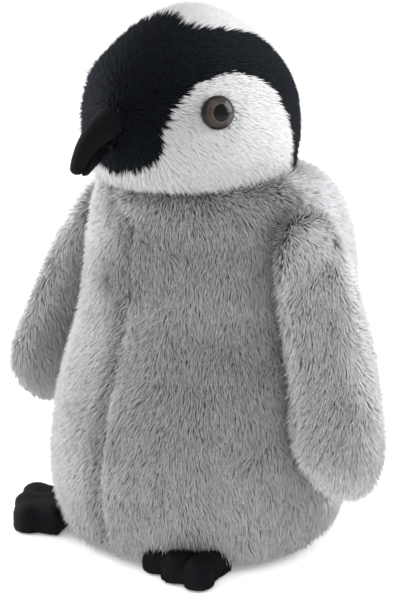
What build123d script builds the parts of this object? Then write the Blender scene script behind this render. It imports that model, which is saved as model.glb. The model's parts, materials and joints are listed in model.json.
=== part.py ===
from build123d import *
import math
import os

# A stuffed penguin chick, standing. +Z is up, the chick faces -Y and its left side is +X.
# The origin is the middle of the flat base. All sizes are in millimetres.
# Fabric faces lie halfway up the pile, so the fur tips stand a few millimetres further out.

# ---- driving dimensions ----
neck_z = 212.0  # height of the seam between head and body
head_top = 301.0
belly_radius = 81.0  # widest part of the body, a quarter of the way up
base_radius = 58.0  # flat panel that the toy stands on
cloth = 3.0  # backing cloth with the lower half of its pile
gap = 0.4  # half of the clearance at each moving seam

neck_radius = 49.0
neck_opening = 38.0  # hole that the stuffing passes through
neck_y = -4.0

head_middle = (0.0, -8.0, 246.0)
head_half = (55.5, 61.5, head_top - 246.0)
eye_place = (47.5, -38.5, 254.0)
eye_radius = 9.0

shoulder = (75.0, 6.0, 187.0)  # hinge line of the left flipper
# The right flipper stands this many degrees off the body, and is swung this many forward.
right_splay, right_swing = 15.0, 4.5
foot_length, foot_height = 35.0, 16.0
# Where each heel is sewn in, and how many degrees its toes point away from straight ahead.
foot_seats = {"left": ((42.0, -44.0), 12.0), "right": ((-54.0, -53.0), 66.0)}

os.makedirs("parts", exist_ok=True)


def save(builder, name):
    """Labels a finished piece and writes it as its own STEP file."""
    builder.part.label = name
    export_step(builder.part, f"parts/{name}.step")


def stacked(sections, inset=0.0):
    """A smooth solid through level ellipses, each (z, half_x, half_y, x, y), drawn in by inset."""
    lowest, highest = sections[0][0], sections[-1][0]
    with BuildPart() as form:
        for z, half_x, half_y, x, y in sections:
            level = min(max(z, lowest + inset), highest - inset) if z in (lowest, highest) else z
            with BuildSketch(Plane.XY.offset(level)):
                with Locations((x, y)):
                    Ellipse(half_x - inset, half_y - inset)
        loft()
    return form.part


def sector(start, end, reach=200.0):
    """The corners of a wedge seen from above, from one compass angle to another."""
    steps = 6
    angles = [math.radians(start + (end - start) * i / steps) for i in range(steps + 1)]
    return [(0, 0)] + [(reach * math.sin(a), -reach * math.cos(a)) for a in angles]


# ---- body: a barrel that leans back towards the shoulders ----
body_sections = [
    (0, base_radius + 5, base_radius + 5, 0, 0),
    (6, 72, 72, 0, 0),
    (22, 79, 78, 0, 0),
    (58, belly_radius, belly_radius, 0, 1),
    (100, 78, 79, 0, 9),
    (140, 70, 78, 0, 18),
    (175, 66, 75, 0, 18),
    (197, 61, 67, 0, 13),
    (206, 56, 59, 0, 5),
    (neck_z - gap, neck_radius, neck_radius, 0, neck_y),
]
body_form = stacked(body_sections)
body_core = stacked(body_sections, cloth)
body_room = stacked([(z, a + 0.8, b + 0.8, x, y) for z, a, b, x, y in body_sections])

side_seam = 102.0  # compass angle of the side seams, measured from straight ahead
body_panels = {
    "front_panel_left": (0, side_seam),
    "front_panel_right": (-side_seam, 0),
    "back_panel_left": (side_seam, 180),
    "back_panel_right": (180, 360 - side_seam),
}
for name, (start, end) in body_panels.items():
    with BuildPart() as panel:
        add(body_form)
        add(body_core, mode=Mode.SUBTRACT)
        with BuildSketch(Plane.XY.offset(-1)):
            with BuildLine():
                Polyline(*sector(start, end), close=True)
            make_face()
        extrude(amount=neck_z + 2, mode=Mode.INTERSECT)
        with BuildSketch(Plane.XY.offset(-1)):
            Circle(base_radius)
        extrude(amount=cloth + 2, mode=Mode.SUBTRACT)
        with BuildSketch(Plane.XY.offset(neck_z - 3 * cloth)):
            with Locations((0, neck_y)):
                Circle(neck_opening)
        extrude(amount=4 * cloth, mode=Mode.SUBTRACT)
    save(panel, name)

with BuildPart() as base_panel:
    with BuildSketch():
        Circle(base_radius)
    extrude(amount=cloth)
save(base_panel, "base_panel")

# A cloth bag of plastic pellets low in the body keeps the toy standing.
pellet_radius = 50.0
pellet_low, pellet_high = 6.0, 30.0
bag_cloth = 1.0

with BuildPart() as pellet_bag:
    with BuildSketch(Plane.XY.offset(pellet_low)):
        Circle(pellet_radius)
    extrude(amount=pellet_high - pellet_low)
    fillet(pellet_bag.edges().filter_by(GeomType.CIRCLE), 8)
    offset(amount=-bag_cloth, mode=Mode.SUBTRACT)
save(pellet_bag, "pellet_bag")

with BuildPart() as bean_pellets:
    with BuildSketch(Plane.XY.offset(pellet_low + bag_cloth)):
        Circle(pellet_radius - bag_cloth)
    extrude(amount=pellet_high - pellet_low - 2 * bag_cloth)
    fillet(bean_pellets.edges().filter_by(GeomType.CIRCLE), 8 - bag_cloth)
save(bean_pellets, "bean_pellets")

with BuildPart() as body_stuffing:
    add(body_core)
    with BuildSketch(Plane.XY.offset(neck_z - gap - cloth)):
        with Locations((0, neck_y)):
            Circle(neck_opening)
    extrude(amount=cloth)
    with BuildSketch(Plane.XY.offset(pellet_low)):
        Circle(pellet_radius)
    extrude(amount=pellet_high - pellet_low, mode=Mode.SUBTRACT)
save(body_stuffing, "body_stuffing")

# The tail is a short flap low on the back, two cloths sewn face to face.
tail_width, tail_length, tail_cloth = 44.0, 22.0, 3.5
tail_z, tail_tilt = 32.0, 48.0
tail_plane = Plane((0, belly_radius - 4, tail_z), x_dir=(1, 0, 0),
                   z_dir=(0, math.sin(math.radians(tail_tilt)), math.cos(math.radians(tail_tilt))))
for name, side in (("tail_upper_panel", 1), ("tail_lower_panel", -1)):
    with BuildPart() as tail:
        with BuildSketch(tail_plane):
            with BuildLine():
                Polyline((-tail_width / 2, -8), (tail_width / 2, -8), (tail_width / 2 - 4, 4))
                ThreePointArc((tail_width / 2 - 4, 4), (0, tail_length), (4 - tail_width / 2, 4))
                Line((4 - tail_width / 2, 4), (-tail_width / 2, -8))
            make_face()
        extrude(amount=side * tail_cloth)
        add(body_form, mode=Mode.SUBTRACT)
    save(tail, name)

# A blank ribbon label is folded into the back seam.
with BuildPart() as care_label:
    with BuildSketch(Plane.YZ.offset(-0.6)):
        with Locations((belly_radius + 7.5, 70)):
            Rectangle(17, 14)
    extrude(amount=1.2)
    add(body_form, mode=Mode.SUBTRACT)
save(care_label, "care_label")

# ---- head: an egg longer from face to nape, cut level at the neck ----
mid_x, mid_y, mid_z = head_middle
half_x, half_y, half_z = head_half
# How much of its full width the head has at each height above its middle.
head_widths = [(0, 1.0), (19, 0.91), (34, 0.715), (45, 0.475), (52, 0.25), (half_z, 0.1)]
jaw_z, jaw_half_x, jaw_half_y, jaw_y = 226.0, 53.5, 60.5, -6.0
head_sections = [(neck_z + gap, neck_radius, neck_radius, 0, neck_y), (jaw_z, jaw_half_x, jaw_half_y, 0, jaw_y)]
head_sections += [(mid_z + up, half_x * width, half_y * width, mid_x, mid_y) for up, width in head_widths]
head_form = stacked(head_sections)
head_core = stacked(head_sections, cloth)

# Outlines that the seams follow: white cheeks, white throat and white nape in a black hood.
# The cheek's edge runs from behind the jaw over the eye to the corner of the muzzle, as (y, z).
cheek_edge = [(21.5, 209), (18.8, 220), (14.2, 231), (9.6, 240.5), (5, 249.7), (-1.5, 260), (-8, 266.5),
              (-17.3, 271), (-27, 272.5), (-38, 270.5), (-47, 266.5), (-54, 260.5), (-59, 252), (-61, 243),
              (-59.5, 235)]
cheek_floor = 205.0
cheek_front = -44.0  # how far forward the cheek reaches at the neck
muzzle_middle, muzzle_half = 241.0, (29.0, 17.0)  # the muzzle's rounded lower edge, seen from in front
nape_tilt, nape_half, nape_corner = 50.0, 27.0, 20.0
nape_start, nape_end = -50.5, 72.0  # along the head from brow to nape
eye_axis = Vector(eye_place[0] / half_x**2, (eye_place[1] - mid_y) / half_y**2,
                  (eye_place[2] - mid_z) / half_z**2).normalized()
shank_radius, shank_length = 2.5, 15.0
eye_seat = 1.8  # the cloth dips this far under the eye


def eye_plane(side):
    """The plane of an eye's flat back, facing out of the head. Side is 1 for left, -1 for right."""
    axis = Vector(side * eye_axis.X, eye_axis.Y, eye_axis.Z)
    place = Vector(side * eye_place[0], eye_place[1], eye_place[2]) + axis * eye_seat
    return Plane(place, x_dir=axis.cross(Vector(0, 0, 1)).normalized(), z_dir=axis)


with BuildPart() as head_shell:
    add(head_form)
    add(head_core, mode=Mode.SUBTRACT)
    with BuildSketch(Plane.XY.offset(neck_z)):
        with Locations((0, neck_y)):
            Circle(neck_opening)
    extrude(amount=2 * cloth, mode=Mode.SUBTRACT)
    for side in (1, -1):
        with BuildSketch(eye_plane(side)):
            Circle(eye_radius + 0.3)
        extrude(amount=8, mode=Mode.SUBTRACT)
        with BuildSketch(eye_plane(side)):
            Circle(shank_radius + 0.2)
        extrude(amount=-shank_length, mode=Mode.SUBTRACT)

with BuildPart() as cheek_cutter:
    with BuildSketch(Plane.YZ):
        with BuildLine():
            Spline(*cheek_edge)
            Polyline(cheek_edge[-1], (cheek_front, cheek_floor), (cheek_edge[0][0], cheek_floor), cheek_edge[0])
        make_face()
    extrude(amount=90, both=True)

with BuildPart() as throat_cutter:
    with BuildSketch(Plane.XY.offset(neck_z - 1)):
        with Locations((0, -60)):
            Rectangle(120, 100)
    extrude(amount=muzzle_middle - neck_z + 1)
    with BuildSketch(Plane.XZ):
        with Locations((0, muzzle_middle)):
            Ellipse(*muzzle_half)
    extrude(amount=120, mode=Mode.SUBTRACT)
    add(cheek_cutter.part, mode=Mode.SUBTRACT)

nape_up = Vector(0, math.sin(math.radians(nape_tilt)), math.cos(math.radians(nape_tilt)))
with BuildPart() as nape_cutter:
    with BuildSketch(Plane(head_middle, x_dir=(1, 0, 0), z_dir=nape_up)):
        with Locations((0, (nape_start + nape_end) / 2)):
            RectangleRounded(2 * nape_half, nape_end - nape_start, nape_corner)
    extrude(amount=90)
    add(cheek_cutter.part, mode=Mode.SUBTRACT)

for name, side in (("cheek_left", 1), ("cheek_right", -1)):
    with BuildPart() as cheek:
        add(head_shell.part)
        add(cheek_cutter.part, mode=Mode.INTERSECT)
        split(bisect_by=Plane.YZ, keep=Keep.TOP if side > 0 else Keep.BOTTOM)
    save(cheek, name)

with BuildPart() as throat_panel:
    add(head_shell.part)
    add(throat_cutter.part, mode=Mode.INTERSECT)
save(throat_panel, "throat_panel")

with BuildPart() as nape_panel:
    add(head_shell.part)
    add(nape_cutter.part, mode=Mode.INTERSECT)
save(nape_panel, "nape_panel")

for name, side in (("hood_left", 1), ("hood_right", -1)):
    with BuildPart() as hood:
        add(head_shell.part)
        for cutter in (cheek_cutter, throat_cutter, nape_cutter):
            add(cutter.part, mode=Mode.SUBTRACT)
        split(bisect_by=Plane.YZ, keep=Keep.TOP if side > 0 else Keep.BOTTOM)
    save(hood, name)

# ---- eyes: a clear dome on a painted disc, whose ribbed shank a washer locks inside the head ----
disc_height, dome_height = 1.6, 5.2
washer_radius, washer_height, washer_depth = 8.0, 2.0, 7.0
rib_depth, rib_count = 0.35, 5

for label, side in (("left", 1), ("right", -1)):
    face = eye_plane(side)
    with BuildPart() as eye_disc:
        with BuildSketch(face):
            Circle(eye_radius)
        extrude(amount=disc_height)
        with BuildSketch(face):
            Circle(shank_radius - rib_depth)
        extrude(amount=-shank_length)
        for rib in range(rib_count):
            with BuildSketch(face.offset(-shank_length + 2 + 1.6 * rib)):
                Circle(shank_radius)
            extrude(amount=0.8)
    save(eye_disc, f"eye_disc_{label}")

    dome_radius = (eye_radius**2 + dome_height**2) / (2 * dome_height)
    with BuildPart() as eye_dome:
        with BuildSketch(Plane(face.origin + face.z_dir * disc_height, x_dir=face.x_dir,
                               z_dir=face.y_dir)) as half_dome:
            with BuildLine():
                Line((0, 0), (eye_radius, 0))
                RadiusArc((eye_radius, 0), (0, -dome_height), dome_radius)
                Line((0, -dome_height), (0, 0))
            make_face()
        revolve(axis=Axis(face.origin, face.z_dir))
    save(eye_dome, f"eye_dome_{label}")

    with BuildPart() as eye_washer:
        with BuildSketch(face.offset(-washer_depth)):
            Circle(washer_radius)
            Circle(shank_radius + 0.05, mode=Mode.SUBTRACT)
        extrude(amount=-washer_height)
    save(eye_washer, f"eye_washer_{label}")

with BuildPart() as head_stuffing:
    add(head_core)
    with BuildSketch(Plane.XY.offset(neck_z + gap)):
        with Locations((0, neck_y)):
            Circle(neck_opening)
    extrude(amount=cloth)
    for side in (1, -1):
        with BuildSketch(eye_plane(side)):
            Circle(shank_radius + 0.2)
        extrude(amount=-shank_length - 0.5, mode=Mode.SUBTRACT)
        with BuildSketch(eye_plane(side).offset(-washer_depth + 0.2)):
            Circle(washer_radius + 0.2)
        extrude(amount=-washer_height - 0.4, mode=Mode.SUBTRACT)
save(head_stuffing, "head_stuffing")

# ---- beak: two drooping cones, the lower one shorter and tucked under the upper ----
upper_line = [(-60, 248, 11.0, 9.5), (-72, 246, 8.8, 8.0), (-83, 240, 6.6, 6.2),
              (-91, 232, 4.9, 4.7), (-96, 223.5, 3.2, 3.0)]
lower_line = [(-60, 240, 9.0, 7.5), (-72, 236.5, 7.0, 5.8), (-82.5, 230, 4.6, 4.1),
              (-90, 222, 2.7, 2.4)]


def beak_cone(line, inset=0.0):
    """A cone through ellipses square to a drooping line, each (y, z, half width, half height)."""
    with BuildPart() as cone:
        for i, (y, z, half_width, half_height) in enumerate(line):
            before, after = line[max(i - 1, 0)], line[min(i + 1, len(line) - 1)]
            heading = Vector(0, after[0] - before[0], after[1] - before[1]).normalized()
            place = Vector(0, y, z) - heading * (inset if i == len(line) - 1 else 0)
            with BuildSketch(Plane(place, x_dir=(1, 0, 0), z_dir=heading)):
                Ellipse(half_width - inset, half_height - inset)
        loft()
    return cone.part


beak_cloth = 1.2
with BuildPart() as upper_beak:
    add(beak_cone(upper_line))
    add(beak_cone(upper_line, beak_cloth), mode=Mode.SUBTRACT)
    add(head_form, mode=Mode.SUBTRACT)
save(upper_beak, "upper_beak")

with BuildPart() as lower_beak:
    add(beak_cone(lower_line))
    add(beak_cone(lower_line, beak_cloth), mode=Mode.SUBTRACT)
    add(beak_cone(upper_line), mode=Mode.SUBTRACT)
    add(head_form, mode=Mode.SUBTRACT)
save(lower_beak, "lower_beak")

with BuildPart() as beak_stuffing:
    add(beak_cone(upper_line, beak_cloth))
    add(head_form, mode=Mode.SUBTRACT)
save(beak_stuffing, "beak_stuffing")

# ---- flippers: long paddles that hang from the side seams ----
# Each section is (z, half thickness, half width, x, y) of the left flipper as it hangs.
flipper_sections = [
    (41, 4, 9, 98, 18.5),
    (47, 8, 18, 97.5, 17.5),
    (57, 10.2, 26, 97, 14),
    (72, 11, 31, 95.5, 10.5),
    (99, 10.8, 30.5, 92, 9.5),
    (120, 10.5, 29.5, 88.5, 9),
    (140, 10, 28, 84.5, 7.5),
    (162, 9.5, 25, 80, 5),
    (180, 9, 20.5, 76.5, 4),
    (190, 7.5, 15, 75, 4),
    (195.5, 3.5, 8, 74.5, 4),
]
lean = math.atan2(flipper_sections[0][3] - shoulder[0], shoulder[2] - flipper_sections[0][0])
edge_plane = Plane((shoulder[0], 0, shoulder[2]), x_dir=(0, 1, 0), z_dir=(math.cos(lean), 0, math.sin(lean)))
flipper_form = stacked(flipper_sections)
flipper_core = stacked(flipper_sections, cloth)


def flipper_piece(piece):
    """Which solid of the left flipper this is."""
    with BuildPart() as made:
        add(flipper_core if piece == "stuffing" else flipper_form)
        if piece != "stuffing":
            add(flipper_core, mode=Mode.SUBTRACT)
            split(bisect_by=edge_plane, keep=Keep.TOP if piece == "outer_panel" else Keep.BOTTOM)
    return made.part


right_hinge = Axis((-shoulder[0], 0, shoulder[2]), (0, 1, 0))
right_pivot = Axis((-shoulder[0], shoulder[1], shoulder[2]), (1, 0, 0))
for piece in ("outer_panel", "inner_panel", "stuffing"):
    with BuildPart() as left_flipper:
        add(flipper_piece(piece))
    save(left_flipper, f"left_flipper_{piece}")
    with BuildPart() as right_flipper:
        hanging = mirror(flipper_piece(piece), about=Plane.YZ, mode=Mode.PRIVATE).rotate(right_pivot, -right_swing)
        add(hanging.rotate(right_hinge, right_splay))
    save(right_flipper, f"right_flipper_{piece}")

# ---- feet: flat pads with three round toes, sewn in where the front panels meet the base ----
toe_radius, toe_spread = 8.6, 15.5
toe_backs = (6.0, 0.0, -2.0)  # how far the inner, middle and outer toes fall short of the middle one
sole_cloth = 2.0


def foot_outline(plane, side, inset=0.0):
    """The foot seen from above on a plane whose +X points along the toes. Side is 1 for left, -1 for right."""
    with BuildSketch(plane) as outline:
        for toe, toe_back in zip((-1, 0, 1), toe_backs):
            reach = foot_length - toe_radius - toe_back
            with Locations((reach, side * toe * toe_spread)):
                Circle(toe_radius - inset)
            with Locations(((inset + reach) / 2, side * toe * toe_spread * 0.85)):
                Rectangle(reach - inset, 2 * (toe_radius - inset - 1))
        with Locations(((foot_length - 2 * toe_radius) / 2, 0)):
            Rectangle(foot_length - 2 * toe_radius - 2 * inset, 2 * (toe_spread + 4 - inset))
    return outline.sketch


for label, side in (("left", 1), ("right", -1)):
    (heel_x, heel_y), heading = foot_seats[label]
    along = math.radians(heading)
    floor = Plane((heel_x, heel_y, 0), x_dir=(side * math.sin(along), -math.cos(along), 0), z_dir=(0, 0, 1))
    with BuildPart() as foot_sole:
        extrude(foot_outline(floor, side), amount=sole_cloth)
        add(body_room, mode=Mode.SUBTRACT)
    save(foot_sole, f"{label}_foot_sole")

    with BuildPart() as foot_stuffing:
        extrude(foot_outline(floor.offset(sole_cloth), side, 2), amount=foot_height - 2 * sole_cloth)
        fillet(foot_stuffing.faces().sort_by(Axis.Z)[-1].edges(), 3)
        add(body_room, mode=Mode.SUBTRACT)
    save(foot_stuffing, f"{label}_foot_stuffing")

    with BuildPart() as foot_upper:
        extrude(foot_outline(floor.offset(sole_cloth), side), amount=foot_height - sole_cloth)
        fillet(foot_upper.faces().sort_by(Axis.Z)[-1].edges(), 5)
        add(body_room, mode=Mode.SUBTRACT)
        add(foot_stuffing.part, mode=Mode.SUBTRACT)
    save(foot_upper, f"{label}_foot_upper")

print("head top", head_top, "mm, neck seam", neck_z, "mm, belly", 2 * belly_radius, "mm across")
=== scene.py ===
# %% [markdown]
# # A plush penguin chick
#
# A standing penguin chick, cut and sewn from fur fabric and stuffed with fibre. The packed
# model holds its sizes, its sewn pieces and its joints. This script dresses that frame: the
# body, the head and the flippers swell in a cloth simulation, and all cloth grows real tufts.

# %% Load the frame
import json
import math

import bpy
import numpy as np
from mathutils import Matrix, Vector
from mathutils.bvhtree import BVHTree


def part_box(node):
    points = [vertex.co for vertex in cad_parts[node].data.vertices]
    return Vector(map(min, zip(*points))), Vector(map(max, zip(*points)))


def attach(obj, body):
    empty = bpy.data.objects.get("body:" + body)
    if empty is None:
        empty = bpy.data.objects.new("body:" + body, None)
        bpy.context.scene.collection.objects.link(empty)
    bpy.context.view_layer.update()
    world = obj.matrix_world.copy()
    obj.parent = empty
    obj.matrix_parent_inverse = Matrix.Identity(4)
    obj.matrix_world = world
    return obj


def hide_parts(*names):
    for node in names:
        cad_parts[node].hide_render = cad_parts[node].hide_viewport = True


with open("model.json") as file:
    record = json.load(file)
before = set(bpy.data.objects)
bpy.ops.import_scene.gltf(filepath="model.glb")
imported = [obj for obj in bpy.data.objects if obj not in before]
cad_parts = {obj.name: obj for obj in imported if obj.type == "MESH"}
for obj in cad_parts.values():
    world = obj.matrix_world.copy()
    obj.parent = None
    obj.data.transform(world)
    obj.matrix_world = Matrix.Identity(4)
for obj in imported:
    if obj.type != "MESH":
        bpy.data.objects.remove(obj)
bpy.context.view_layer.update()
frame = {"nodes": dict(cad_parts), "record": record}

MM = 0.001
nodes = frame["nodes"]

# %% [markdown]
# ## Small helpers
#
# Operators act on whatever is selected, so each step first says which objects it works on.
# `finish_with` adds a modifier, sets it and applies it, which leaves a plain mesh.


# %% Select, apply, copy
def only(*objects):
    """Selects these objects alone, the first one active."""
    bpy.ops.object.select_all(action="DESELECT")
    for each in objects:
        each.select_set(True)
    bpy.context.view_layer.objects.active = objects[0]


def finish_with(piece, kind, **settings):
    """Adds a modifier of this kind to a piece and applies it."""
    only(piece)
    bpy.ops.object.modifier_add(type=kind)
    modifier = piece.modifiers[-1]
    for name, value in settings.items():
        setattr(modifier, name, value)
    bpy.ops.object.modifier_apply(modifier=modifier.name)


def join(label, parts):
    """Joins these objects into one that has this name."""
    only(*parts)
    if len(parts) > 1:
        bpy.ops.object.join()
    joined = bpy.context.view_layer.objects.active
    joined.name = joined.data.name = label
    return joined


def copy_of(names, label):
    """One new object with the merged meshes of these CAD nodes, and no materials."""
    copies = []
    for name in names:
        copy = bpy.data.objects.new(label, nodes[name].data.copy())
        bpy.context.scene.collection.objects.link(copy)
        copy.data.materials.clear()
        copies.append(copy)
    copy = join(label, copies)
    finish_with(copy, "WELD", merge_threshold=0.00002)
    return copy


def points_of(piece):
    """The places of a piece's points, one row each."""
    found = np.empty(len(piece.data.vertices) * 3, np.float32)
    piece.data.vertices.foreach_get("co", found)
    return found.reshape(-1, 3).astype(float)


def normals_of(piece):
    """The smooth outward direction at each point."""
    found = np.empty(len(piece.data.vertices) * 3, np.float32)
    piece.data.vertices.foreach_get("normal", found)
    return found.reshape(-1, 3).astype(float)


def move_points(piece, places):
    piece.data.vertices.foreach_set("co", places.astype(np.float32).ravel())
    piece.data.update()


def keep(piece, name, values):
    """Writes one number or one vector for each point of a piece, under this name."""
    if name in piece.data.attributes:
        piece.data.attributes.remove(piece.data.attributes[name])
    kind, field = ("FLOAT", "value") if values.ndim == 1 else ("FLOAT_VECTOR", "vector")
    made = piece.data.attributes.new(name, kind, "POINT")
    made.data.foreach_set(field, values.astype(np.float32).ravel())


def unit(vectors):
    return vectors / np.maximum(np.linalg.norm(vectors, axis=-1, keepdims=True), 1e-9)


def fade(value, start, end):
    """Goes smoothly from 0 at start to 1 at end."""
    share = np.clip((value - start) / (end - start), 0, 1)
    return share * share * (3 - 2 * share)


# A random field is a sum of this many waves, with this pitch and height.
WAVES, WAVE_PITCH, WAVE_HEIGHT = 16, 1.8, 1.4


def wander(places, size, seed):
    """A smooth random vector at each place, which changes over this many metres."""
    chance = np.random.default_rng(seed)
    waves = chance.normal(size=(3, 3, WAVES)) * WAVE_PITCH / size
    starts = chance.uniform(0, 2 * math.pi, size=(3, WAVES))
    parts = [np.sin(places @ wave + start).mean(axis=1) for wave, start in zip(waves, starts)]
    return np.stack(parts, axis=1) * WAVE_HEIGHT


# %% [markdown]
# ## Shader maths
#
# `Wire` wraps a node's output, so that ordinary Python arithmetic adds Math nodes.
# `Finish` is one material, and its one `node` method makes every other node.


# %% Wires and finishes
class Wire:
    """A node's output that arithmetic can be used on."""

    def __init__(self, finish, socket):
        self.finish, self.socket = finish, socket

    def _math(self, operation, first, second):
        return self.finish.node("ShaderNodeMath", {"operation": operation}, {0: first, 1: second})

    def __add__(self, other):
        return self._math("ADD", self, other)

    __radd__ = __add__

    def __sub__(self, other):
        return self._math("SUBTRACT", self, other)

    def __rsub__(self, other):
        return self._math("SUBTRACT", other, self)

    def __mul__(self, other):
        return self._math("MULTIPLY", self, other)

    __rmul__ = __mul__

    def __truediv__(self, other):
        return self._math("DIVIDE", self, other)


class Finish:
    """One material. Constants go straight on the shader's own sockets."""

    def __init__(self, name, **constants):
        self.material = bpy.data.materials.new(name)
        self.material.use_nodes = True
        self.tree = self.material.node_tree
        self.shader = self.tree.nodes["Principled BSDF"]
        for socket, value in constants.items():
            self.shader.inputs[socket.replace("_", " ")].default_value = value

    def node(self, kind, settings=None, inputs=None, out=0):
        """Makes a node: its settings first, then the values or wires of its sockets."""
        made = self.tree.nodes.new(kind)
        for name, value in (settings or {}).items():
            setattr(made, name, value)
        usable = [s for s in made.inputs if s.enabled]
        for key, value in (inputs or {}).items():
            socket = usable[key] if isinstance(key, int) else next(s for s in usable if s.name == key)
            if isinstance(value, Wire):
                self.tree.links.new(value.socket, socket)
            else:
                socket.default_value = value
        outputs = [s for s in made.outputs if s.enabled]
        found = outputs[out] if isinstance(out, int) else next(s for s in outputs if s.name == out)
        return Wire(self, found)

    def place(self):
        return self.node("ShaderNodeTexCoord", out="Object")

    def axis(self, letter):
        """How far along one of the object's own axes a place is."""
        return self.node("ShaderNodeSeparateXYZ", {}, {0: self.place()}, letter)

    def attribute(self, name, out="Fac"):
        return self.node("ShaderNodeAttribute", {"attribute_name": name}, out=out)

    def cloud(self, scale, detail=2.0, where=None):
        """Soft noise between 0 and 1."""
        inputs = {"Vector": where or self.place(), "Scale": scale, "Detail": detail}
        return self.node("ShaderNodeTexNoise", {}, inputs)

    def between(self, low, high, amount):
        """A value ramped from 0 at low to 1 at high."""
        return self.node("ShaderNodeMapRange", {"interpolation_type": "SMOOTHSTEP"},
                         {"Value": amount, "From Min": low, "From Max": high}, "Result")

    def mix(self, first, second, amount):
        """A colour between two colours."""
        inputs = {"Factor": amount, "A": first, "B": second}
        return self.node("ShaderNodeMix", {"data_type": "RGBA"}, inputs, "Result")

    def stretched(self, scale):
        """Object coordinates with each axis scaled, so that a pattern can be drawn out."""
        return self.node("ShaderNodeMapping", {}, {"Vector": self.place(), "Scale": scale})

    def feed(self, socket, wire):
        self.tree.links.new(wire.socket, self.shader.inputs[socket])

    def bump(self, height, distance, strength=1.0):
        inputs = {"Height": height, "Distance": distance, "Strength": strength}
        self.feed("Normal", self.node("ShaderNodeBump", {}, inputs, "Normal"))


def grey(level, blue=0.0):
    """A neutral colour that leans towards blue by a share."""
    return (level * (1 - blue), level * (1 - blue * 0.4), level * (1 + blue), 1.0)


# %% [markdown]
# ## Fur finish
#
# Frosted plush has dark roots and light tips, and no two tufts are dyed quite alike. Each
# tuft carries two numbers: `tip` runs from its root to its end, and `shade` is its own luck.
# Soft noise adds broad patches and small streaks, as the pile shows where a hand has brushed it.
# A third attribute, `soft`, is the way the cloth under a tuft faces. The shading normal leans
# most of the way to it, because light passes between fine hairs as if through a soft skin.


# %% Fur, velour and cloth
# How far the shading leans to the cloth, how much each tuft's own luck changes its colour, and
# how much painted light lightens the fur: above a set height, near the floor and at the left side.
SOFTNESS, LUCK = 0.78, 0.36
PAINTED_LIGHT_TOP, PAINTED_LIGHT_FOOT, PAINTED_LIGHT_SIDE = 0.35, 0.12, 0.2


def pile_finish(name, root, middle, tip, patchy=0.12, flecks=0.2, sheen=0.2, gloss=0.2, painted_light_from=1.0,
                painted_light_left_of=-1.0):
    """Fur whose colour runs from root to tip and varies from tuft to tuft and in soft patches.

    Painted light makes it paler above a set height, near the floor, and where x is below a set bound.
    """
    made = Finish(name, Roughness=0.8, Sheen_Weight=sheen, Sheen_Roughness=0.5, Specular_IOR_Level=gloss)
    to_world = {"convert_from": "OBJECT", "convert_to": "WORLD", "vector_type": "NORMAL"}
    soft = {"Vector": made.attribute("soft", "Vector")}
    soft = made.node("ShaderNodeVectorTransform", to_world, soft, "Vector")
    own = made.node("ShaderNodeNewGeometry", out="Normal")
    blend = {"Factor": SOFTNESS, "A": own, "B": soft}
    facing = made.node("ShaderNodeMix", {"data_type": "VECTOR"}, blend, "Result")
    made.feed("Normal", made.node("ShaderNodeVectorMath", {"operation": "NORMALIZE"}, {0: facing}, "Vector"))
    tip_share, shade = made.attribute("tip"), made.attribute("shade")
    streaks = made.cloud(230, 2, made.stretched((1, 1, 0.35)))
    sideways, height = made.axis("X"), made.axis("Z")
    tone_and_painted_light = (made.cloud(34, 3) - 0.5) * (2 * patchy) + (streaks - 0.5) * (2 * flecks) + (shade - 0.5) * LUCK
    # Painted light: paler above a set height where the overhead lamp falls, near the floor that lights the
    # fur from below, and on the left side that the left lamp lights.
    tone_and_painted_light = tone_and_painted_light + made.between(painted_light_from, painted_light_from + 0.045, height) * PAINTED_LIGHT_TOP
    tone_and_painted_light = tone_and_painted_light + made.between(-0.10, -0.03, 0 - height) * PAINTED_LIGHT_FOOT
    tone_and_painted_light = tone_and_painted_light + made.between(-painted_light_left_of, 0.02 - painted_light_left_of, 0 - sideways) * PAINTED_LIGHT_SIDE
    low = made.mix(root, middle, made.between(0.0, 0.5, tip_share + tone_and_painted_light * 0.5))
    colour = made.mix(low, tip, made.between(0.3, 1.05, tip_share + tone_and_painted_light))
    made.feed("Base Color", colour)
    made.feed("Roughness", 0.7 + shade * 0.2)
    return made.material


def soft_black(level):
    """A black that leans a little towards blue."""
    return (level * 0.78, level, level * 1.4, 1.0)


# Painted light: the silver fur is made paler on its left side, and the flipper fur above 14.5 cm.
pile = {
    "silver_plush": pile_finish("silver_pile", grey(0.19), grey(0.30, 0.01), grey(0.52, 0.015), 0.2,
                                painted_light_left_of=-0.004),
    "flipper_plush": pile_finish("flipper_pile", grey(0.18), grey(0.41, 0.01), grey(0.69, 0.015), 0.18,
                                 painted_light_from=0.145),
    "pale_plush": pile_finish("pale_pile", grey(0.50), grey(0.62, 0.015), grey(0.76, 0.015), 0.06, 0.1),
    "white_plush": pile_finish("white_pile", grey(0.70), grey(0.72), grey(0.74), 0.02, 0.03),
    "black_plush": pile_finish("black_pile", soft_black(0.003), soft_black(0.006), soft_black(0.012),
                               0.1, 0.2, sheen=0.015, gloss=0.05),
    "black_velour": pile_finish("velour_pile", soft_black(0.003), soft_black(0.005), soft_black(0.009),
                                0.08, 0.1, sheen=0.04, gloss=0.15),
    "base_cloth": pile_finish("base_pile", grey(0.22), grey(0.38, 0.01), grey(0.50, 0.01), 0.06, 0.1),
}
print("mixed", len(pile), "fur finishes")

# %% [markdown]
# ## The camera and the light
#
# The toy is looked at from its front left, a little above, with a long lens. The room is
# bright and plain: a pale floor, a soft lamp overhead, and a lamp on each side for the rims.

# %% Camera, floor and lamps
LOOK_AT = Vector((0.0, 0.0, 0.136))
AZIMUTH, ELEVATION, DISTANCE = math.radians(43), math.radians(15), 1.10


def towards(azimuth, elevation):
    """The direction from the toy to a viewer at these angles."""
    level = math.cos(elevation)
    return Vector((math.sin(azimuth) * level, -math.cos(azimuth) * level, math.sin(elevation)))


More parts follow.
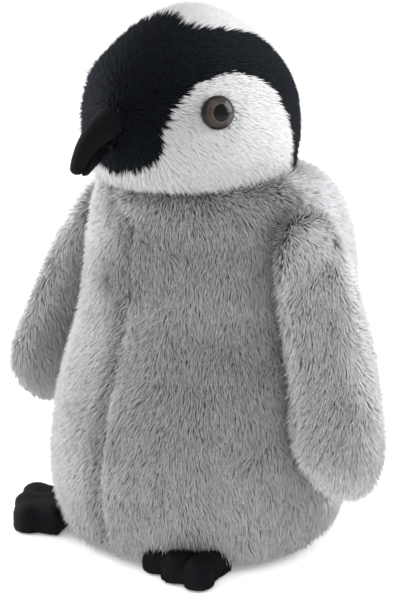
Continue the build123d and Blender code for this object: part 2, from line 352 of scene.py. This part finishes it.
camera_data = bpy.data.cameras.new("camera")
camera_data.lens, camera_data.sensor_width = 115.6, 36.0
camera_data.clip_start, camera_data.clip_end = 0.01, 50
camera = bpy.data.objects.new("camera", camera_data)
camera.location = LOOK_AT + towards(AZIMUTH, ELEVATION) * DISTANCE
camera.rotation_euler = towards(AZIMUTH, ELEVATION).to_track_quat("Z", "Y").to_euler()
bpy.context.scene.collection.objects.link(camera)
bpy.context.scene.camera = camera

only(camera)
bpy.ops.mesh.primitive_circle_add(vertices=96, radius=6, fill_type="NGON", location=(0, 0, -0.0005))
floor = bpy.context.active_object
floor.name = "floor"
floor_finish = Finish("pale_floor", Roughness=0.9, Base_Color=(0.94, 0.94, 0.94, 1), Specular_IOR_Level=0.1,
                      Emission_Color=(1, 1, 1, 1), Emission_Strength=0.22)
floor.data.materials.append(floor_finish.material)


def lamp(name, azimuth, elevation, distance, size, watts):
    """A soft square lamp that faces the middle of the toy."""
    data = bpy.data.lights.new(name, "AREA")
    data.shape, data.size, data.energy = "SQUARE", size, watts
    made = bpy.data.objects.new(name, data)
    direction = towards(math.radians(azimuth), math.radians(elevation))
    made.location = LOOK_AT + direction * distance
    made.rotation_euler = direction.to_track_quat("Z", "Y").to_euler()
    bpy.context.scene.collection.objects.link(made)


lamp("overhead", 20, 65, 1.8, 1.4, 9)
lamp("left_side", -64, 9, 1.5, 1.1, 33)
lamp("right_side", 140, 25, 1.5, 1.1, 22)

world = bpy.data.worlds.new("studio")
world.use_nodes = True
world.node_tree.nodes["Background"].inputs["Color"].default_value = (1, 1, 1, 1)
world.node_tree.nodes["Background"].inputs["Strength"].default_value = 0.84
bpy.context.scene.world = world
bpy.context.scene.view_settings.view_transform = "Standard"
print("camera", [round(x, 3) for x in camera.location])

# %% [markdown]
# ## One tuft
#
# Seen close, pile is thousands of thin pointed locks. One lock is a curved leaf of only four
# faces: a three-sided cone has four corners, of which one becomes the root, two are raised to
# be the widest part, and the peak becomes the tip, pushed over so that the lock droops.
# It is modelled once, one unit long and one wide, and copied all over the cloth.


# %% Model the tuft
def model_tuft(label, belly, droop):
    """A leaf whose widest part is at the height `belly` and whose tip leans by `droop`."""
    bpy.ops.object.select_all(action="DESELECT")
    bpy.ops.mesh.primitive_cone_add(vertices=3, radius1=0.5, radius2=0, depth=1, location=(0, 0, 0.5))
    tuft = bpy.context.active_object
    bpy.ops.object.transform_apply(location=True, rotation=True, scale=True)
    root = min((p for p in tuft.data.vertices if p.co.z < 0.5), key=lambda p: abs(p.co.x))
    for point in tuft.data.vertices:
        if point.co.z > 0.5:
            point.co = (droop, 0, 0.97)
        elif point == root:
            point.co = (0, 0, 0)
        else:
            point.co = (0.2 * droop, math.copysign(0.5, point.co.x), belly)
    only(tuft)
    bpy.ops.object.mode_set(mode="EDIT")
    bpy.ops.mesh.select_all(action="SELECT")
    bpy.ops.mesh.normals_make_consistent(inside=False)
    bpy.ops.object.mode_set(mode="OBJECT")
    bpy.ops.object.shade_smooth()
    keep(tuft, "tip", np.clip(points_of(tuft)[:, 2], 0, 1))
    tuft.name = label
    tuft.hide_render = tuft.hide_viewport = True
    return tuft


long_tuft = model_tuft("long_tuft", belly=0.42, droop=0.24)
short_tuft = model_tuft("short_tuft", belly=0.35, droop=0.15)
print("one tuft has", len(long_tuft.data.polygons), "faces")

# %% [markdown]
# ## Growing pile
#
# A Geometry Nodes modifier scatters points over the cloth, sets a tuft on each one and turns
# it the way the cloth was brushed. Three attributes on the cloth steer it: `lean` is where a
# tuft points, `lie` is the way it is brushed, and `grow` is its length, which is 0 under an eye.
# A fourth attribute, `soft`, only goes along with the tufts, for their shading.


# %% The growing modifier
class Growth:
    """A Geometry Nodes tree that grows tufts, with one method that makes its nodes."""

    def __init__(self, name):
        self.tree = bpy.data.node_groups.new(name, "GeometryNodeTree")
        self.tree.interface.new_socket("Geometry", in_out="INPUT", socket_type="NodeSocketGeometry")
        self.tree.interface.new_socket("Geometry", in_out="OUTPUT", socket_type="NodeSocketGeometry")

    def node(self, kind, settings=None, inputs=None, out=0):
        made = self.tree.nodes.new(kind)
        for name, value in (settings or {}).items():
            setattr(made, name, value)
        usable = [s for s in made.inputs if s.enabled]
        for key, value in (inputs or {}).items():
            socket = usable[key] if isinstance(key, int) else next(s for s in usable if s.name == key)
            if isinstance(value, bpy.types.NodeSocket):
                self.tree.links.new(value, socket)
            else:
                socket.default_value = value
        outputs = [s for s in made.outputs if s.enabled]
        if not outputs:
            return None
        return outputs[out] if isinstance(out, int) else next(s for s in outputs if s.name == out)

    def named(self, name, kind):
        return self.node("GeometryNodeInputNamedAttribute", {"data_type": kind}, {"Name": name}, "Attribute")

    def chance(self, low, high, seed, kind="FLOAT"):
        return self.node("FunctionNodeRandomValue", {"data_type": kind},
                         {"Min": low, "Max": high, "Seed": seed}, "Value")


def grow_tree(tuft, per_square_mm, width, ragged, seed):
    """The tree that turns cloth into its pile."""
    g = Growth("grow_pile")
    cloth = g.node("NodeGroupInput")
    points = g.node("GeometryNodeDistributePointsOnFaces", {"distribute_method": "RANDOM"},
                    {"Mesh": cloth, "Density": per_square_mm / MM**2, "Seed": seed}, "Points")
    stray = g.chance((-ragged,) * 3, (ragged,) * 3, seed + 1, "FLOAT_VECTOR")
    lean = g.node("ShaderNodeVectorMath", {"operation": "ADD"},
                  {0: g.named("lean", "FLOAT_VECTOR"), 1: stray}, "Vector")
    upright = g.node("FunctionNodeAlignRotationToVector", {"axis": "Z"}, {"Vector": lean}, "Rotation")
    turned = g.node("FunctionNodeAlignRotationToVector", {"axis": "X", "pivot_axis": "Z"},
                    {"Rotation": upright, "Vector": g.named("lie", "FLOAT_VECTOR")}, "Rotation")
    length = g.node("ShaderNodeMath", {"operation": "MULTIPLY"},
                    {0: g.named("grow", "FLOAT"), 1: g.chance(0.7, 1.15, seed + 2)})
    thick = g.node("ShaderNodeMath", {"operation": "MULTIPLY"}, {0: g.chance(0.7, 1.3, seed + 3), 1: width})
    size = g.node("ShaderNodeCombineXYZ", {}, {"X": length, "Y": thick, "Z": length})
    shape = g.node("GeometryNodeObjectInfo", {"transform_space": "ORIGINAL"}, {"Object": tuft}, "Geometry")
    growing = g.node("FunctionNodeCompare", {"data_type": "FLOAT", "operation": "GREATER_THAN"},
                     {0: g.named("grow", "FLOAT"), 1: 0.3 * MM}, "Result")
    tufts = g.node("GeometryNodeInstanceOnPoints", {},
                   {"Points": points, "Selection": growing, "Instance": shape, "Rotation": turned,
                    "Scale": size}, "Instances")
    shaded = g.node("GeometryNodeStoreNamedAttribute", {"data_type": "FLOAT", "domain": "INSTANCE"},
                    {"Geometry": tufts, "Name": "shade", "Value": g.chance(0.0, 1.0, seed + 4)}, "Geometry")
    real = g.node("GeometryNodeRealizeInstances", {}, {"Geometry": shaded}, "Geometry")
    g.node("NodeGroupOutput", {}, {"Geometry": real})
    return g.tree


def grow_pile(cloth, tuft, per_square_mm, width, ragged=0.2, seed=1):
    """A second object with the tufts that grow on this cloth."""
    only(cloth)
    bpy.ops.object.duplicate()
    tufts = bpy.context.active_object
    tree = grow_tree(tuft, per_square_mm, width, ragged, seed)
    finish_with(tufts, "NODES", node_group=tree)
    return tufts


# %% [markdown]
# ## Puffing up a cloth form
#
# The sewn pieces of one stuffed part are copied, wrapped in an even skin of small squares
# and blown up by a cloth simulation. Points on the seams are pinned, so the cloth swells
# between them and the seams stay as grooves. Each point moves straight out from the form by
# as much as the cloth swelled there, and never further than the cap. The feet, the beak and
# the tail are wrapped only.


# %% Wrap and puff
def largest_shell(form):
    """Keeps the outer skin and drops any small shell left inside."""
    only(form)
    bpy.ops.object.mode_set(mode="EDIT")
    bpy.ops.mesh.select_all(action="SELECT")
    bpy.ops.mesh.separate(type="LOOSE")
    bpy.ops.object.mode_set(mode="OBJECT")
    shells = sorted(bpy.context.selected_objects, key=lambda o: len(o.data.vertices))
    for shell in shells[:-1]:
        bpy.data.objects.remove(shell)
    return shells[-1]


def wrap(names, label, voxel, smoothing=6):
    """An even closed skin round these CAD nodes."""
    form = copy_of(names, label)
    finish_with(form, "REMESH", mode="VOXEL", voxel_size=voxel)
    form = largest_shell(form)
    form.name = form.data.name = label
    finish_with(form, "SMOOTH", factor=0.5, iterations=smoothing)
    return form


# The cloth of so small a toy needs a light weight, a soft weave and a strong pressure to swell.
PRESSURE, MASS, STRETCH, SHEAR, FRAMES = 100.0, 0.01, 4, 2, 20


def puff(form, pinned, cap):
    """Blows the form up like a cushion; pinned is 1 where a seam holds a point."""
    start, outward = points_of(form), normals_of(form)
    group = form.vertex_groups.new(name="seams")
    for index in np.flatnonzero(pinned > 0.02):
        group.add([int(index)], float(pinned[index]), "REPLACE")
    only(form)
    bpy.ops.object.modifier_add(type="CLOTH")
    cloth = form.modifiers[-1]
    cloth.settings.use_pressure = True
    cloth.settings.uniform_pressure_force = PRESSURE
    cloth.settings.mass = MASS
    cloth.settings.tension_stiffness = cloth.settings.compression_stiffness = STRETCH
    cloth.settings.shear_stiffness = SHEAR
    cloth.settings.effector_weights.gravity = 0
    cloth.settings.vertex_group_mass = "seams"
    cloth.point_cache.frame_start, cloth.point_cache.frame_end = 1, FRAMES
    for frame_number in range(1, FRAMES + 1):
        bpy.context.scene.frame_set(frame_number)
    bpy.ops.object.modifier_apply(modifier=cloth.name)
    bpy.context.scene.frame_set(1)
    swollen = np.sum((points_of(form) - start) * outward, axis=1)
    print(form.name, "swells by", round(float(np.mean(np.clip(swollen, 0, cap))) / MM, 2), "mm")
    move_points(form, start + outward * np.clip(swollen, 0, cap)[:, None])
    form.vertex_groups.clear()
    finish_with(form, "SMOOTH", factor=0.5, iterations=2)


def divide(form, names):
    """Cuts the form into one patch for each node, by which node each face lies nearest."""
    trees = {name: BVHTree.FromPolygons([v.co for v in nodes[name].data.vertices],
                                        [p.vertices[:] for p in nodes[name].data.polygons])
             for name in names}
    nearest = [min(names, key=lambda name: trees[name].find_nearest(face.center)[3])
               for face in form.data.polygons]
    patches = {}
    for name in names:
        patch = bpy.data.objects.new(name + "_fur", form.data.copy())
        bpy.context.scene.collection.objects.link(patch)
        only(patch)
        bpy.ops.object.mode_set(mode="EDIT")
        bpy.ops.mesh.select_all(action="DESELECT")
        bpy.ops.object.mode_set(mode="OBJECT")
        patch.data.polygons.foreach_set("select", [n != name for n in nearest])
        bpy.ops.object.mode_set(mode="EDIT")
        bpy.ops.mesh.select_mode(type="FACE")
        bpy.ops.mesh.delete(type="FACE")
        bpy.ops.object.mode_set(mode="OBJECT")
        patches[name] = patch
    bpy.data.objects.remove(form)
    return patches


slot_of = {s["node"]: s["material_slot"] for s in frame["record"]["subparts"]}
body_of_node = {n: b for b, ns in frame["record"]["behaviour"]["bodies"].items() for n in ns}


def dress(patch, node, tuft, per_square_mm, width, ragged, seed):
    """Gives a patch its thickness and its pile, and puts it in the CAD node's place."""
    slot = slot_of[node]
    tufts = grow_pile(patch, tuft, per_square_mm, width, ragged, seed)
    finish_with(patch, "SOLIDIFY", thickness=0.0012, offset=-1)
    whole = join(patch.name, [patch, tufts])
    whole.data.materials.clear()
    whole.data.materials.append(pile[slot])
    whole.data.polygons.foreach_set("material_index", [0] * len(whole.data.polygons))
    only(whole)
    bpy.ops.object.shade_smooth()
    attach(whole, body_of_node[node])
    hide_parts(node)
    corners = sum(len(p.vertices) - 2 for p in whole.data.polygons)
    print(whole.name, corners, "triangles")
    return whole


# How far the soft shading direction leans the way the pile is brushed.
SOFT_LEAN = 0.25


def brush(form, way, slant, length, mess=(0.45, 0.3, 0.2), seed=1):
    """Brushes a form's pile: `way` is each point's direction, `slant` how far it lies down.

    `mess` is how much the direction wanders over wide swirls, over locks and over single tufts.
    """
    places, outward = points_of(form), normals_of(form)
    way = unit(way)
    for share, size, step in zip(mess, (45 * MM, 15 * MM, 6 * MM), range(3)):
        way = way + share * 2 * wander(places, size, seed + step)
    flat = unit(way - outward * np.sum(way * outward, axis=1, keepdims=True))
    slant = np.broadcast_to(slant, len(places))[:, None]
    keep(form, "lean", outward * np.cos(slant) + flat * np.sin(slant))
    keep(form, "lie", flat)
    keep(form, "soft", unit(outward + flat * SOFT_LEAN))
    keep(form, "grow", np.broadcast_to(length, len(places)).astype(float))


# %% [markdown]
# ## The body
#
# Two silver front panels meet in a seam down the middle of the belly, and two pale back
# panels join them at the sides. The pile is brushed down, and it parts a little along each
# seam, which shows as a groove. At the neck it stands up more, so that it meets the head.
# The cloth is dented where the flippers press on it, the most on the left.

# %% Puff the body
SIDE_SEAM = math.radians(102)
body_names = ["front_panel_left", "front_panel_right", "back_panel_left", "back_panel_right"]
body_inside = ["base_panel", "body_stuffing", "pellet_bag", "bean_pellets"]
body = wrap(body_names + body_inside, "body_form", 5.5 * MM)


def seam_distance(places, angle):
    """How far each place is from the upright seam at this compass angle."""
    outward = np.array([math.sin(angle), -math.cos(angle)])
    across = np.abs(places[:, 0] * outward[1] - places[:, 1] * outward[0])
    return np.where(places[:, :2] @ outward > 0, across, 1.0)


def body_seams(places):
    """How far each place is from the nearest upright seam."""
    angles = (0, SIDE_SEAM, -SIDE_SEAM, math.pi)
    return np.min([seam_distance(places, angle) for angle in angles], axis=0)


places = points_of(body)
neck_z = places[:, 2].max()
held = 1 - fade(body_seams(places), 2 * MM, 9 * MM)
held = np.maximum(held, 1 - fade(places[:, 2], 6 * MM, 22 * MM))
held = np.maximum(held, fade(places[:, 2], neck_z - 14 * MM, neck_z - 2 * MM))
puff(body, held, 4 * MM)
finish_with(body, "SUBSURF", levels=1, render_levels=1)
print("body form", len(body.data.vertices), "points")

# %% Crease and brush the body
places, outward = points_of(body), normals_of(body)
near_seam = 1 - fade(body_seams(places), 0.5 * MM, 8 * MM)
near_seam *= fade(places[:, 2], 4 * MM, 20 * MM)
near_seam *= 1 - fade(places[:, 2], neck_z - 24 * MM, neck_z - 8 * MM)


def on_body(angle, z):
    """The place on the body at a compass angle and a height, in metres."""
    ahead = np.array([math.sin(math.radians(angle)), -math.cos(math.radians(angle))])
    near = places[np.abs(places[:, 2] - z * MM) < 4 * MM]
    return near[np.argmax(near[:, :2] @ ahead)]


# Compass angle, height, reach sideways, reach upwards and depth of each dent, where an arm presses.
DENTS = ((68, 130, 17, 14, 5.0), (57, 144, 14, 8, 3.6), (44, 134, 22, 7, 2.4), (38, 112, 18, 8, 1.6),
         (-66, 134, 16, 14, 4.0), (42, 184, 20, 9, 2.0))
DEEPEST_DENT, GROOVE = 4.0 * MM, 2.4 * MM
pressed = np.zeros(len(places))
for angle, z, reach, rise, depth in DENTS:
    offset = (places - on_body(angle, z)) / MM
    level = np.hypot(offset[:, 0], offset[:, 1])
    pressed += np.exp(-((level / reach) ** 2) - (offset[:, 2] / rise) ** 2) * depth * MM
pressed = DEEPEST_DENT * np.tanh(pressed / DEEPEST_DENT) * (1 - near_seam)
move_points(body, places - outward * (pressed + near_seam * GROOVE)[:, None])
front_groove = 1 - fade(seam_distance(places, 0), 2 * MM, 16 * MM)
sideways = np.sign(places[:, 0]) * front_groove * 0.4
way = np.stack([sideways, np.zeros(len(places)), np.full(len(places), -1.0)], axis=1)
at_front = fade(-places[:, 1], -20 * MM, 30 * MM)
near_neck = fade(places[:, 2], neck_z - 22 * MM, neck_z - 4 * MM)
length = (9.5 - 4 * near_seam) * MM * (0.35 + 0.65 * fade(places[:, 2], 2 * MM, 14 * MM))
length *= 1 - near_neck * at_front * 0.3
length[(places[:, 2] < 3 * MM) | (places[:, 2] > neck_z - 0.3 * MM)] = 0
slant = math.radians(43) + near_seam * math.radians(14) - near_neck * math.radians(14)
brush(body, way, slant, length, mess=(0.4, 0.3, 0.2), seed=3)
body_patches = divide(body, body_names + ["base_panel"])

# %% Grow the body's pile
for step, name in enumerate(body_names):
    density = 2.1 if name.startswith("front") else 1.7
    dress(body_patches[name], name, long_tuft, density, 0.55 * MM, 0.3, 10 * step)

sole = body_patches["base_panel"]
brush(sole, np.tile((0.0, 1.0, 0.0), (len(sole.data.vertices), 1)), math.radians(65), 1.6 * MM, seed=5)
dress(sole, "base_panel", short_tuft, 0.8, 0.9 * MM, 0.25, 50)

# %% [markdown]
# ## The head
#
# The head is an egg of six pieces: a black hood in two halves, white cheeks, a white throat
# and a white patch from the crown to the nape. Its pile is shorter and denser than the body's
# and flows back from the beak. No pile grows where the eyes are set in.

# %% Puff and brush the head
head_names = ["hood_left", "hood_right", "cheek_left", "cheek_right", "throat_panel", "nape_panel"]
head = wrap(head_names + ["head_stuffing"], "head_form", 4 * MM)
places = points_of(head)
jaw = places[:, 2].min()
held = 1 - fade(places[:, 2], jaw + 3 * MM, jaw + 14 * MM)
puff(head, held, 1.5 * MM)
finish_with(head, "SUBSURF", levels=1, render_levels=1)
places = points_of(head)
low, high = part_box("head_stuffing")
middle = (low + high) / 2
beak_root = Vector((0.0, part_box("upper_beak")[1].y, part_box("upper_beak")[1].z - 8 * MM))
from_beak = unit(places - np.array(beak_root))
way = from_beak + np.array((0.0, 0.35, -0.45))
near_rim = 1 - fade(places[:, 2], jaw + 4 * MM, jaw + 16 * MM)
way = way + near_rim[:, None] * np.array((0.0, 0.0, -1.2))
crown = fade(places[:, 2], places[:, 2].max() - 24 * MM, places[:, 2].max() - 4 * MM)
length = (7.0 + 3 * near_rim + 2.5 * crown) * MM
length[places[:, 2] < jaw + 0.8 * MM] = 0
length *= 0.8 + 0.2 * fade(np.linalg.norm(places - np.array(beak_root), axis=1), 12 * MM, 26 * MM)
eyes = {}
slant = np.full(len(places), math.radians(54))
for side, fluffed in (("left", 0), ("right", 1)):
    low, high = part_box(f"eye_dome_{side}")
    eyes[side] = (low + high) / 2
    gap = np.linalg.norm(places - np.array(eyes[side]), axis=1)
    length *= 1 - (0.4 - 0.3 * fluffed) * (1 - fade(gap, 9 * MM, 13 * MM))
    length[gap < 9.3 * MM] = 0
    away = unit(places - np.array(eyes[side]))
    way = way + away * (1 - fade(gap, 9 * MM, 15 * MM))[:, None] * 0.9 * (1 - fluffed)
    slant -= fluffed * (1 - fade(gap, 12 * MM, 26 * MM)) * math.radians(34)
    length *= 1 + 0.55 * fluffed * (1 - fade(gap, 14 * MM, 30 * MM))
slant -= near_rim * math.radians(10)
brush(head, way, slant, length, mess=(0.16, 0.12, 0.08), seed=7)
head_patches = divide(head, head_names)
print("head form", len(places), "points")

# %% Grow the head's pile
for step, name in enumerate(head_names):
    density = 3.6 if name.startswith("cheek") else 2.5
    dress(head_patches[name], name, long_tuft, density, 0.5 * MM, 0.16, 100 + 10 * step)

# %% [markdown]
# ## The flippers
#
# Each flipper is a flat paddle of an outer and an inner piece. Handling has parted the long
# pile along the middle of the outer piece: it falls to both sides of an uneven line, where
# the dark roots show.

# %% Puff, part and dress the flippers
PARTING = 8 * MM


def dress_flipper(side, turn, seed):
    """Puffs one flipper and grows its pile; turn is 1 for the left flipper, -1 for the right."""
    names = [f"{side}_flipper_outer_panel", f"{side}_flipper_inner_panel"]
    form = wrap(names + [f"{side}_flipper_stuffing"], f"{side}_flipper_form", 3.5 * MM)
    facing_out = np.abs(normals_of(form)[:, 0])
    puff(form, 1 - fade(facing_out, 0.15, 0.5), 1.5 * MM)
    finish_with(form, "SUBSURF", levels=1, render_levels=1)
    places, outward = points_of(form), normals_of(form)
    low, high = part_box(names[0])
    height = (places[:, 2] - low.z) / (high.z - low.z)
    wave = wander(places * (0, 0, 1), 30 * MM, seed)[:, 0]
    line = (low.y + high.y) / 2 + 2 * MM + 4 * MM * (1 - height) + wave * 9 * MM
    beside = places[:, 1] - line
    outer = fade(outward[:, 0] * turn, 0.0, 0.5) * (1 - fade(height, 0.78, 0.92)) * fade(height, 0.1, 0.25)
    spread = np.tanh(beside / PARTING) * outer * 1.3
    over_top = turn * 2.8 * fade(height, 0.78, 0.98)
    way = np.stack([over_top, spread, np.full(len(places), -1.0)], axis=1)
    slant = math.radians(44) + outer * np.exp(-(beside / PARTING) ** 2) * math.radians(16)
    brush(form, way, slant, 9 * MM, seed=seed)
    for step, (name, patch) in enumerate(divide(form, names).items()):
        dress(patch, name, long_tuft, 2.1 - 0.5 * step, 0.56 * MM, 0.3, 200 + 10 * seed + step)


dress_flipper("left", 1, 11)
dress_flipper("right", -1, 14)

# %% [markdown]
# ## The feet, the beak and the tail
#
# Feet and beak are black velour, whose pile is only a millimetre or so. The same growing
# method covers them with short tufts that lie nearly flat. The little tail is the pale fur.
# The cloth of each foot is drawn in between its three toes.

# %% Feet
FOOT_HEADING = {"left": math.radians(12), "right": -math.radians(66)}
TOE_SPREAD = 15.5 * MM


CREASE_WIDTH, CREASE_DEPTH = 2.2 * MM, 3 * MM


def crease_toes(foot, heading):
    """Draws the cloth in between the toes, and returns the way that the toes point."""
    forward = np.array([math.sin(heading), -math.cos(heading), 0.0])
    sideways = np.array([math.cos(heading), math.sin(heading), 0.0])
    places = points_of(foot)
    along, across = places @ forward, places @ sideways
    tip = along.max()
    toes = across[along > tip - 16 * MM]
    middle = (toes.min() + toes.max()) / 2
    for side in (-0.5, 0.5):
        beside = (across - middle - side * TOE_SPREAD) / CREASE_WIDTH
        between = np.exp(-beside**2) * fade(along, tip - 26 * MM, tip - 12 * MM)
        top = fade(places[:, 2], 3 * MM, 12 * MM)
        places = places - np.outer(between * top * CREASE_DEPTH, (0, 0, 1))
    move_points(foot, places)
    return forward


for step, side in enumerate(("left", "right")):
    names = [f"{side}_foot_upper", f"{side}_foot_sole"]
    foot = wrap(names + [f"{side}_foot_stuffing"], f"{side}_foot_form", 1.6 * MM, 12)
    forward = crease_toes(foot, FOOT_HEADING[side])
    places = points_of(foot)
    way = np.tile(forward + np.array((0, 0, -0.4)), (len(places), 1))
    length = np.where(places[:, 2] < 1.2 * MM, 0, 1.5 * MM)
    brush(foot, way, math.radians(62), length, mess=(0.1, 0.1, 0.15), seed=17)
    for count, (name, patch) in enumerate(divide(foot, names).items()):
        dress(patch, name, short_tuft, 3.2, 0.55 * MM, 0.2, 300 + 20 * step + count)

# %% Beak
for step, (name, inside) in enumerate((("upper_beak", ["beak_stuffing"]), ("lower_beak", []))):
    beak = wrap([name] + inside, name + "_fur", 1.5 * MM, 4)
    places = points_of(beak)
    way = np.tile((0.0, -0.5, -1.0), (len(places), 1))
    brush(beak, way, math.radians(64), 1.3 * MM, mess=(0.05, 0.1, 0.15), seed=19)
    dress(beak, name, short_tuft, 5.0, 0.42 * MM, 0.2, 400 + step)

# %% Tail
tail_names = ["tail_upper_panel", "tail_lower_panel"]
tail = wrap(tail_names, "tail_form", 2 * MM, 4)
way = np.tile((0.0, 0.7, -1.0), (len(tail.data.vertices), 1))
brush(tail, way, math.radians(60), 8 * MM, seed=23)
for step, (name, patch) in enumerate(divide(tail, tail_names).items()):
    dress(patch, name, long_tuft, 2.0, 0.6 * MM, 0.2, 450 + step)

# %% [markdown]
# ## The eyes
#
# A toy eye is a clear dome over a painted disc: a black pupil, a brown iris with fine streaks,
# and a dark rim. A lighter ring round the pupil is painted highlight, for the light that the
# clear dome gathers beside the pupil. The pattern is drawn by the distance from the eye's
# axis, on the dome itself, under a thin clear coat that carries the reflections.


# %% Paint the eyes
def eye_finish(side):
    """Rings of colour round the axis of one eye."""
    outward = unit(np.array(eye_axis(side, Vector(eyes[side]) - Vector(middle))))
    made = Finish(f"eye_{side}", Roughness=0.15, Specular_IOR_Level=0.08, Coat_Weight=0.22,
                  Coat_Roughness=0.02)
    offset = made.node("ShaderNodeVectorMath", {"operation": "SUBTRACT"},
                       {0: made.place(), 1: tuple(eyes[side])}, "Vector")
    across = made.node("ShaderNodeVectorMath", {"operation": "CROSS_PRODUCT"},
                       {0: offset, 1: tuple(outward)}, "Vector")
    radius = made.node("ShaderNodeVectorMath", {"operation": "LENGTH"}, {0: across}, "Value") / (9 * MM)
    streaks = made.cloud(900, 3)
    iris = made.mix((0.018, 0.013, 0.011, 1), (0.058, 0.043, 0.037, 1), streaks)
    # The lighter ring round the pupil is a painted highlight, for light gathered by the clear dome.
    iris_with_painted_ring = made.mix((0.075, 0.058, 0.050, 1), iris, made.between(0.54, 0.70, radius + streaks * 0.05))
    rimmed = made.mix(iris_with_painted_ring, (0.008, 0.007, 0.007, 1), made.between(0.78, 0.93, radius))
    colour = made.mix((0.001, 0.001, 0.001, 1), rimmed, made.between(0.49, 0.54, radius))
    made.feed("Base Color", colour)
    return made.material


def eye_axis(side, outward):
    """The direction in which an eye looks: square to the flat back of its dome."""
    dome = nodes[f"eye_dome_{side}"].data
    backs = sorted(dome.polygons, key=lambda p: p.normal.dot(outward.normalized()))
    flat = max(backs[: len(backs) // 3], key=lambda p: p.area)
    return -flat.normal


def repaint(name, material):
    """Gives a CAD node this material."""
    nodes[name].data.materials.clear()
    nodes[name].data.materials.append(material)


for side in ("left", "right"):
    paint = eye_finish(side)
    for piece in ("dome", "disc"):
        repaint(f"eye_{piece}_{side}", paint)
    only(nodes[f"eye_dome_{side}"])
    bpy.ops.object.shade_smooth_by_angle(angle=math.radians(35))
print("painted the eyes")

# %% [markdown]
# ## What is inside
#
# The filling can't be seen, but a model that is opened should still look right: white fibre,
# a woven bag with plastic pellets, and the washers behind the eyes. A ribbon label is sewn
# into the back seam.

# %% Filling, bag, pellets, washers and label
fibre = Finish("fibrefill", Roughness=0.9, Sheen_Weight=0.3)
strands = fibre.cloud(90, 6, fibre.stretched((1, 3, 1)))
fibre.feed("Base Color", fibre.mix(grey(0.72), grey(0.90), strands))
fibre.bump(strands, 0.002, 0.6)

weave = Finish("bag_weave", Roughness=0.85)
place = weave.stretched((1200, 1200, 1200))
threads = [weave.node("ShaderNodeTexWave", {"bands_direction": axis}, {"Vector": place, "Scale": 0.5}, 1)
           for axis in ("X", "Y")]
weave.feed("Base Color", weave.mix((0.60, 0.57, 0.50, 1), (0.80, 0.77, 0.69, 1), threads[0] * threads[1]))
weave.bump(threads[0] + threads[1], 0.0002, 0.5)

beads = Finish("pellet_plastic", Roughness=0.4)
cells = beads.node("ShaderNodeTexVoronoi", {}, {"Vector": beads.place(), "Scale": 300}, "Distance")
# The pellets' centres are light and the gaps between them dark grey: painted shade between the pellets,
# beside the bump.
beads.feed("Base Color", beads.mix(grey(0.85), grey(0.35), beads.between(0.3, 0.7, cells)))
beads.bump(1 - cells, 0.002, 0.8)

moulded = Finish("washer_plastic", Roughness=0.35)
moulded.feed("Base Color", moulded.mix(grey(0.80), grey(0.88), moulded.cloud(60)))
moulded.feed("Roughness", 0.3 + moulded.cloud(400) * 0.15)

ribbon = Finish("label_satin", Sheen_Weight=0.3)
ribs = ribbon.node("ShaderNodeTexWave", {"bands_direction": "Z"}, {"Vector": ribbon.place(), "Scale": 500}, 1)
ribbon.feed("Base Color", ribbon.mix(grey(0.74), grey(0.88), ribs))
ribbon.feed("Roughness", 0.35 + ribs * 0.2)
ribbon.bump(ribs, 0.0001, 0.4)

dressed_as = {"fibrefill": fibre, "bag_cloth": weave, "pellets": beads, "washer_plastic": moulded,
              "label_ribbon": ribbon}
for name, slot in slot_of.items():
    if slot in dressed_as:
        repaint(name, dressed_as[slot].material)
print("finished the inside")

# %% Remove the two model tufts
for tuft in (long_tuft, short_tuft):
    bpy.data.objects.remove(tuft)
